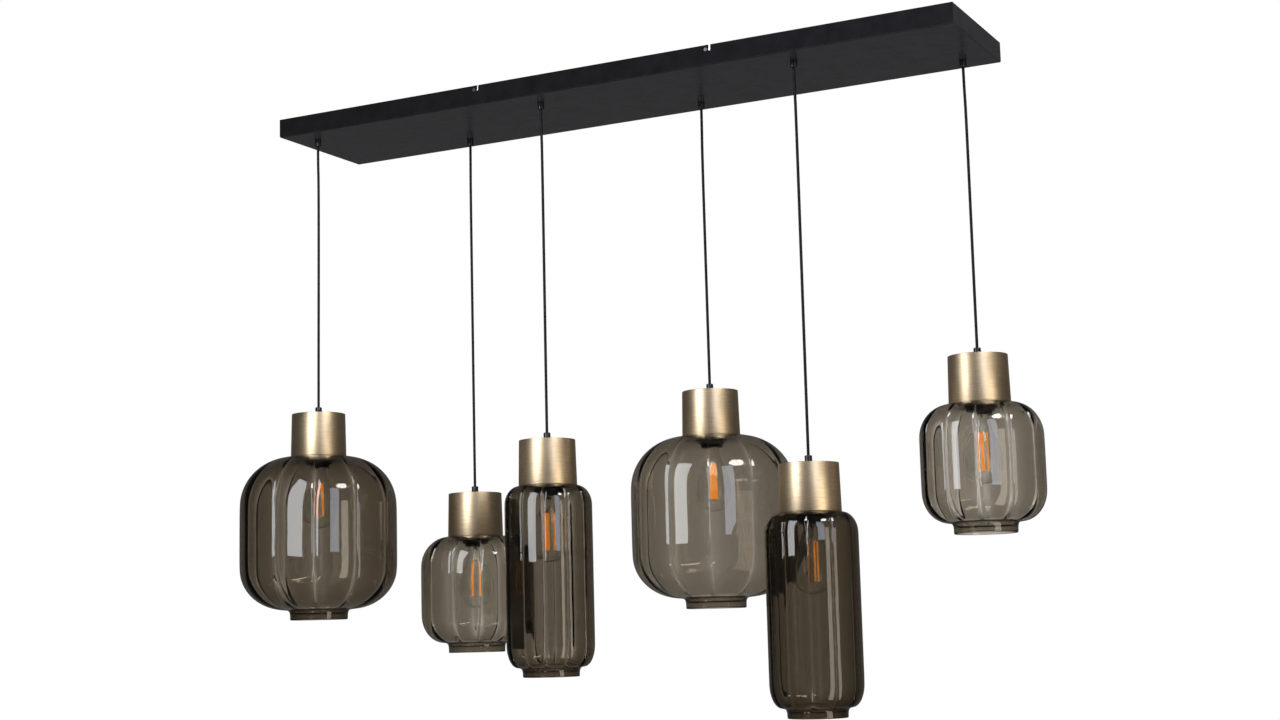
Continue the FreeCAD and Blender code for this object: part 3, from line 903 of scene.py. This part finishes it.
def glass_shade(n):
    """One closed skin of smoked glass."""
    shade, wall = SHADES[SHADE_KINDS[n]], WALLS[n]
    outer = shade_lines(shade, 0)
    inner = shade_lines(shade, wall)[::-1]
    collar = collar_lines(shade, wall)
    seat = CAP_BOTTOM_RADIUS - SEAT_WIDTH
    top = [
        (seat, -wall), (HOLE_RADIUS + HOLE_ROUND, -wall), (HOLE_RADIUS, -wall + HOLE_ROUND),
        (HOLE_RADIUS, -HOLE_ROUND), (HOLE_RADIUS + HOLE_ROUND, 0), (seat, 0),
    ]
    outline = [line[:2] for line in outer] + collar + [line[:2] for line in inner] + top
    piece = turned(f"glass_shade_{n}", outline, SHADE_SIDES)
    gather_spokes(piece)
    press_grooves(piece, outer, 0, GROOVES[n])
    press_grooves(piece, inner, len(outer) + len(collar), GROOVES[n] * INNER_SHARE)
    crease_grooves(piece, len(outer), GROOVE_CREASE)
    return piece


for n in LIGHTS:
    piece = glass_shade(n)
    smooth = piece.modifiers.new("smooth", "SUBSURF")
    smooth.levels = SHADE_SMOOTHING
    smooth.render_levels = SHADE_SMOOTHING
    bpy.ops.object.modifier_apply(modifier=smooth.name)
    bpy.ops.object.shade_smooth()
    dress(piece, smoked)
    place = cap_top(n) + Vector((0, 0, GLASS_TOP))
    piece.data.transform(Matrix.Translation(place) @ Matrix.Rotation(math.radians(LOBE_TURNS[n]), 4, "Z"))
    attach(piece, f"pendant_{n}")
    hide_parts(f"shade_{n}")
    print(piece.name, len(piece.data.polygons), "faces")

# %% [markdown]
# The bulb's envelope is clear glass a millimetre thick, shaped like a pear. Its flank follows half a
# cosine wave from the neck out to the belly, and its end is half an ellipse. The outer skin is turned
# first, and the solidify modifier then gives it its wall.

# %% Bulb envelopes
BASE_END = HOLDER_END + 0.001
BULB_RADIUS = 0.032
BULB_NECK = 0.013
BULB_FLANK = 0.078
BULB_END = -0.209
BULB_WALL = 0.001
BULB_SIDES = 48
FLANK_RINGS = 8
TIP_RINGS = 9


def envelope_lines():
    """Radius and height of the outer face, from its neck to near its tip."""
    flank_end = BASE_END - BULB_FLANK
    points = []
    for step in range(FLANK_RINGS + 1):
        s = step / FLANK_RINGS
        swell = (1 - math.cos(math.pi * s)) / 2
        points.append((BULB_NECK + (BULB_RADIUS - BULB_NECK) * swell, BASE_END - BULB_FLANK * s))
    for step in range(1, TIP_RINGS):
        t = math.pi / 2 * step / TIP_RINGS
        points.append((BULB_RADIUS * math.cos(t), flank_end - (flank_end - BULB_END) * math.sin(t)))
    return points


def envelope():
    """Clear pear-shaped envelope with its wall."""
    piece = turned("bulb_master", envelope_lines(), BULB_SIDES, end="tip")
    wall = piece.modifiers.new("wall", "SOLIDIFY")
    wall.thickness = BULB_WALL
    wall.offset = -1
    bpy.ops.object.modifier_apply(modifier=wall.name)
    smooth = piece.modifiers.new("smooth", "SUBSURF")
    smooth.levels = 1
    smooth.render_levels = 1
    bpy.ops.object.modifier_apply(modifier=smooth.name)
    bpy.ops.object.shade_smooth()
    dress(piece, clear)
    return piece


hung(envelope(), "bulb_envelope", "bulb", "bulb_glass")

# %% [markdown]
# The screw base is rolled from thin plated sheet, so its thread is round, with no sharp crests. Points
# on a wave give that, one crest and one root for each turn. The shoulder above it narrows to a black
# insulator in the real thing, and ends in the contact.

# %% Bulb bases
BASE_TOP = BASE_END + 0.024
BASE_PITCH = 0.0036
BASE_STEPS = 8
BASE_TURNS = 4.5
BASE_RADIUS = 0.01255
BASE_WAVE = 0.0004
BASE_LEAD = 0.0015
BASE_SMOOTH = 50
BASE_FOOT = ((0.0124, 0.0002), (0.0127, 0.0006))
BASE_SHOULDER = (
    (0.0120, -0.0050), (0.0100, -0.0022), (0.0070, -0.0004), (0.0047, 0.0),
    (0.0044, 0.0004), (0.0043, 0.0014), (0.0030, 0.0019), (0.0010, 0.002),
)


def bulb_base():
    """Rolled screw base with its end contact."""
    outline = [(radius, BASE_END + height) for radius, height in BASE_FOOT]
    for step in range(int(BASE_TURNS * BASE_STEPS) + 1):
        wave = math.cos(2 * math.pi * step / BASE_STEPS)
        height = BASE_END + BASE_LEAD + BASE_PITCH * step / BASE_STEPS
        outline.append((BASE_RADIUS + BASE_WAVE * wave, height))
    outline += [(radius, BASE_TOP + height) for radius, height in BASE_SHOULDER]
    piece = turned("bulb_base_master", outline, BULB_SIDES, end="sealed")
    bpy.ops.object.shade_smooth_by_angle(angle=math.radians(BASE_SMOOTH))
    dress(piece, nickel)
    return piece


hung(bulb_base(), "screw_base", "bulb", "bulb_base")

# %% [markdown]
# A bulb's inside is made of straight bars: light sticks, and the fine wires that hold them. A bevelled
# curve would also be round, but a cylinder turned to point from one end to the other is a mesh at once,
# and its end edges can be softened. A join makes each set of bars one piece.

# %% Bars
ROD_SIDES = 12
ROD_EDGE = 0.3


def rod(radius, start, end, sides=ROD_SIDES):
    """Round bar between two points, with softened ends."""
    way = Vector(end) - Vector(start)
    bpy.ops.object.select_all(action="DESELECT")
    bpy.ops.mesh.primitive_cylinder_add(
        vertices=sides, radius=radius, depth=way.length, location=(Vector(start) + Vector(end)) / 2,
        rotation=way.to_track_quat("Z", "Y").to_euler(),
    )
    piece = bpy.context.object
    bpy.ops.object.transform_apply(location=True, rotation=True)
    finish_edges(piece, radius * ROD_EDGE, segments=2)
    return piece


def joined(name, pieces, finish):
    """Several pieces made one, with one finish."""
    bpy.ops.object.select_all(action="DESELECT")
    for piece in pieces:
        piece.select_set(True)
    bpy.context.view_layer.objects.active = pieces[0]
    bpy.ops.object.join()
    piece = bpy.context.object
    piece.name = name
    dress(piece, finish)
    return piece


print("a wire has", ROD_SIDES, "sides")

# %% [markdown]
# Four light sticks stand on a circle round the bulb's axis. Bulbs stop at any angle when they are screwed
# in, so each bulb's inside has its own turn.

# %% Sticks
STICK_LENGTH = 0.062
STICK_START = 0.030
STICK_CIRCLE = 0.010
STICK_RADIUS = 0.0013
STICK_SIDES = 16
STICKS = 4
BULB_TURNS = {n: math.radians(a) for n, a in {1: 9, 2: 30, 3: -12, 4: 14, 5: 2, 6: 40}.items()}


def stick_places():
    """X and Y of the sticks."""
    turns = [2 * math.pi * (number + 0.5) / STICKS for number in range(STICKS)]
    return [(STICK_CIRCLE * math.cos(turn), STICK_CIRCLE * math.sin(turn)) for turn in turns]


def light_sticks():
    """Four light sticks on a circle."""
    high = BASE_END - STICK_START
    low = high - STICK_LENGTH
    rods = [rod(STICK_RADIUS, (x, y, low), (x, y, high), STICK_SIDES) for x, y in stick_places()]
    return joined("sticks_master", rods, amber)


hung(light_sticks(), "light_sticks", "bulb", "bulb_filament", BULB_TURNS)

# %% [markdown]
# A pinched glass stem stands in the bulb's neck. A rod runs down from it through the middle, and wires go
# out to the sticks' ends. The stem could be a plain cone, but its flared foot and thin neck are what
# bend the light in a real bulb.

# %% Wires and stem
STEM_LENGTH = 0.024
STEM_PROFILE = (
    (0.0079, 0.0003), (0.0062, 0.004), (0.0046, 0.010), (0.0036, 0.018), (0.0034, 0.022),
    (0.0020, STEM_LENGTH),
)
STEM_SMOOTH = 40
WIRE_RADIUS = 0.0004
MIDDLE_RADIUS = WIRE_RADIUS * 1.5
WIRE_DROP = 0.001
WIRE_RISE = 0.004


def stick_wires():
    """Rod down the middle, with a wire out to each stick's two ends."""
    high = BASE_END - STICK_START
    low = high - STICK_LENGTH
    middle_top = BASE_END - STEM_LENGTH + WIRE_DROP
    rods = [rod(MIDDLE_RADIUS, (0, 0, low - 2 * WIRE_DROP), (0, 0, middle_top))]
    for x, y in stick_places():
        rods.append(rod(WIRE_RADIUS, (0, 0, low - WIRE_DROP), (x, y, low)))
        rods.append(rod(WIRE_RADIUS, (0, 0, high + WIRE_RISE), (x, y, high)))
    return joined("wires_master", rods, nickel)


def glass_stem():
    """Pinched glass stem that carries the wires."""
    outline = [(radius, BASE_END - depth) for radius, depth in STEM_PROFILE]
    piece = turned("stem_master", outline, BULB_SIDES // 2, end="sealed")
    bpy.ops.object.shade_smooth_by_angle(angle=math.radians(STEM_SMOOTH))
    dress(piece, clear)
    return piece


hung(stick_wires(), "stick_wires", "bulb", "bulb_filament", BULB_TURNS)
hung(glass_stem(), "glass_stem", "bulb", "bulb_filament", BULB_TURNS)

# %% [markdown]
# The plate, brackets, side screws and terminal block are flat or sawn work, and their frame pieces
# already have the right shape. They only need their finishes, which go into the objects' own slots. The
# side screws show in the plate's slots, so they are coated black like the plate.

# %% Finishes of the frame's own pieces
FINISHES = {
    "ceiling_plate": steel_black, "ceiling_brackets": zinc,
    "side_screws": steel_black, "terminal_block": nylon,
}
for node, finish in FINISHES.items():
    dress(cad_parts[node], finish)
print("finished nodes", len(FINISHES))

# %% [markdown]
# The floor is pale and matt. A white floor could be made with more lamps, but those would also bleach
# the object, so the floor glows by itself. The camera, and rays that come through the glass, see a tenth
# of its own paint in that glow, and the paint takes the lamp's shadow.

# %% Floor
FLOOR_HEIGHT = -3.6
FLOOR_SIZE = 20.0
FLOOR_GLOW = 1.0
FLOOR_SHOWN = 0.9


def floor_paint():
    """Pale floor that the camera sees as nearly white."""
    made, shader = material("pale_floor", (0.8, 0.8, 0.8), 0.9)
    nodes, links = made.node_tree.nodes, made.node_tree.links
    glow = nodes.new("ShaderNodeEmission")
    path = nodes.new("ShaderNodeLightPath")
    seen = nodes.new("ShaderNodeMath")
    seen.operation = "MAXIMUM"
    mix = nodes.new("ShaderNodeMixShader")
    links.new(path.outputs["Is Camera Ray"], seen.inputs[0])
    links.new(path.outputs["Is Transmission Ray"], seen.inputs[1])
    spread(made, seen.outputs[0], FLOOR_GLOW, FLOOR_SHOWN, mix.inputs["Fac"])
    links.new(shader.outputs["BSDF"], mix.inputs[1])
    links.new(glow.outputs["Emission"], mix.inputs[2])
    links.new(mix.outputs["Shader"], nodes["Material Output"].inputs["Surface"])
    return made


bpy.ops.object.select_all(action="DESELECT")
bpy.ops.mesh.primitive_plane_add(size=FLOOR_SIZE, location=(0, 0, FLOOR_HEIGHT))
floor = bpy.context.object
floor.name = "floor"
dress(floor, floor_paint())
floor.visible_glossy = False
scene = bpy.context.scene
scene.view_settings.view_transform = "Standard"
print("floor at", FLOOR_HEIGHT, "m")

# %% [markdown]
# Dark glass and brass show the room they stand in more than their own colour. Here that is a studio: a
# white backdrop behind the lamp, and dim walls round it. Dim walls are what draw the shades' outlines
# as thin dark lines and give the brass its brown sides. To the camera the whole world is white.

# %% World
ROOM_MIRRORED = 0.06
BACKDROP_MIRRORED = 0.10
ROOM_THROUGH_GLASS = 0.55
ROOM_LIGHT = 0.45
BACKDROP_TURN = math.radians(117.1)
BACKDROP_EDGE = (0.55, 0.75)


def backdrop_share(nodes, links):
    """1 in directions that meet the backdrop, 0 where the room is."""
    where = nodes.new("ShaderNodeTexCoord")
    towards = nodes.new("ShaderNodeVectorMath")
    towards.operation = "DOT_PRODUCT"
    towards.inputs[1].default_value = (math.cos(BACKDROP_TURN), math.sin(BACKDROP_TURN), 0)
    ramp = nodes.new("ShaderNodeMapRange")
    ramp.interpolation_type = "SMOOTHSTEP"
    ramp.inputs["From Min"].default_value = BACKDROP_EDGE[0]
    ramp.inputs["From Max"].default_value = BACKDROP_EDGE[1]
    links.new(where.outputs["Generated"], towards.inputs[0])
    links.new(towards.outputs["Value"], ramp.inputs["Value"])
    return ramp.outputs["Result"]


def studio_world():
    """White backdrop and a dimmer room, both white to the camera."""
    world = bpy.data.worlds.new("studio")
    bpy.context.scene.world = world
    world.use_nodes = True
    nodes, links = world.node_tree.nodes, world.node_tree.links

    def blend(share, low, high):
        """Strength between two others, which are numbers or come from a blend before."""
        mix = nodes.new("ShaderNodeMix")
        links.new(share, mix.inputs[0])
        for socket, value in ((mix.inputs[2], low), (mix.inputs[3], high)):
            if isinstance(value, float):
                socket.default_value = value
            else:
                links.new(value, socket)
        return mix.outputs[0]

    share = backdrop_share(nodes, links)
    path = nodes.new("ShaderNodeLightPath")
    mirrored = blend(share, ROOM_MIRRORED, BACKDROP_MIRRORED)
    through = blend(share, ROOM_THROUGH_GLASS, 1.0)
    light = blend(path.outputs["Is Glossy Ray"], ROOM_LIGHT, mirrored)
    light = blend(path.outputs["Is Transmission Ray"], light, through)
    light = blend(path.outputs["Is Camera Ray"], light, 1.0)
    links.new(light, nodes["Background"].inputs["Strength"])
    nodes["Background"].inputs["Color"].default_value = (1, 1, 1, 1)


studio_world()
print("world", bpy.context.scene.world.name)

# %% [markdown]
# The bars that mirror in the glass are softboxes. Their places follow from the mirrored bars: a bar's
# place on one round shade gives a direction, and two shades give the point where the directions cross.
# Every softbox is an area lamp, so its reflection has a softbox's straight edges. The left window would
# also light up the plate's black side, so it is flagged off the plate, as with a black card on a stand.

# %% Softboxes
LAMP_MIDDLE = Vector((0, 0, -0.8))


def softbox(name, place, width, height, radiance, colour, shape="RECTANGLE"):
    """Area lamp at a place, turned to the lights, with the same brightness at any size."""
    data = bpy.data.lights.new(name, "AREA")
    data.shape = shape
    data.size = width
    data.size_y = height
    data.energy = radiance * math.pi * width * height * (math.pi / 4 if shape == "ELLIPSE" else 1)
    data.color = colour
    lamp = bpy.data.objects.new(name, data)
    away = Vector(place) - LAMP_MIDDLE
    facing = away.to_track_quat("Z", "Y").to_matrix().to_4x4()
    lamp.matrix_world = Matrix.Translation(place) @ facing
    bpy.context.collection.objects.link(lamp)
    return lamp


def flag(lamp, piece):
    """Keeps a lamp's light off one piece."""
    shaded = bpy.data.collections.new(f"flag_{lamp.name}")
    lamp.light_linking.receiver_collection = shaded
    shaded.objects.link(piece)
    shaded.collection_objects[0].light_linking.link_state = "EXCLUDE"


window_left = softbox("window_left", (-0.41, -1.34, -0.16), 0.60, 1.36, 8.0, (0.92, 0.95, 1.0))
softbox("window_blue", (1.90, -1.55, 0.10), 0.65, 1.70, 4.5, (0.74, 0.80, 1.0))
softbox("screen_right", (1.78, -0.66, -1.30), 0.70, 2.00, 3.6, (1.0, 0.90, 0.74))
softbox("lamp_above", (2.10, -0.70, 1.30), 1.20, 0.70, 19.0, (1.0, 1.0, 0.98), shape="ELLIPSE")
softbox("strip_low", (-0.30, -1.90, -2.05), 1.10, 0.12, 6.0, (1.0, 0.86, 0.62))
flag(window_left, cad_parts["ceiling_plate"])
